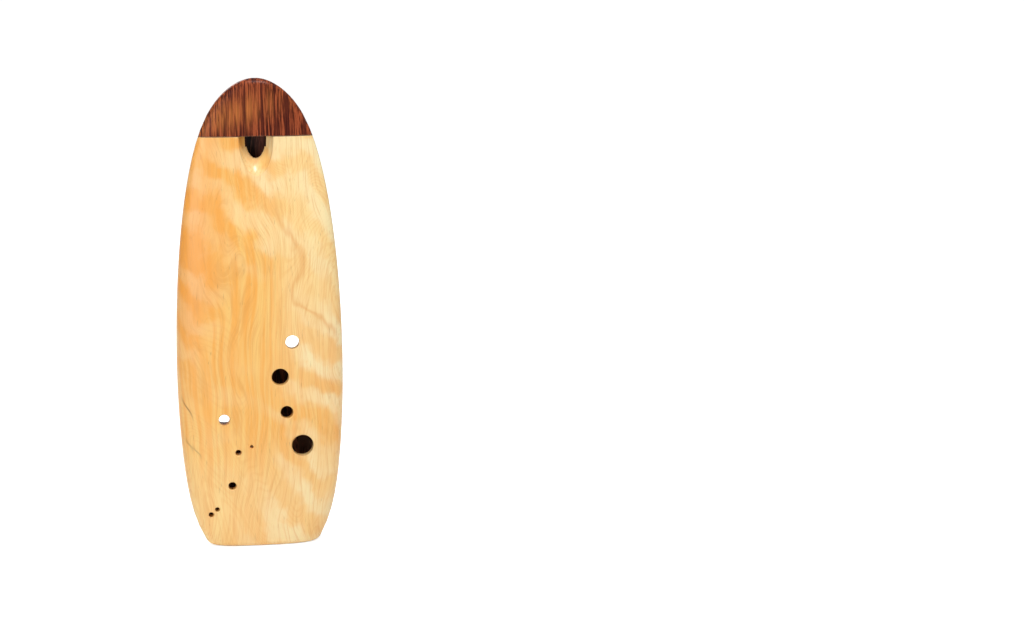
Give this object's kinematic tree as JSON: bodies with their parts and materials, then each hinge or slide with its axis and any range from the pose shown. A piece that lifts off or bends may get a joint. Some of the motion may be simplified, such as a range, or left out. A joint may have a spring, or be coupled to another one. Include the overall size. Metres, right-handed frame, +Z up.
{
  "type": "inline ocarina",
  "caption": "Hollow wooden vessel flute with an in-line beak mouthpiece, a sound window, finger holes in front, thumb holes behind and a flat foot.",
  "frame": {"origin": "on the flat foot, below the ridge of the tip, in the plane where cap and beak meet", "axes": "+Z up from the foot to the tip, -Y out of the front with the finger holes, +X to the right seen from the front"},
  "size_m": [0.0748, 0.03, 0.212],
  "materials": {
    "maple": "satin figured maple",
    "cap_wood": "satin reddish brown striped wood",
    "walnut": "satin figured walnut"
  },
  "bodies": {
    "root": {"front_body": "maple", "mouthpiece_cap": "cap_wood", "back_shell": "walnut"}
  },
  "joints": []
}
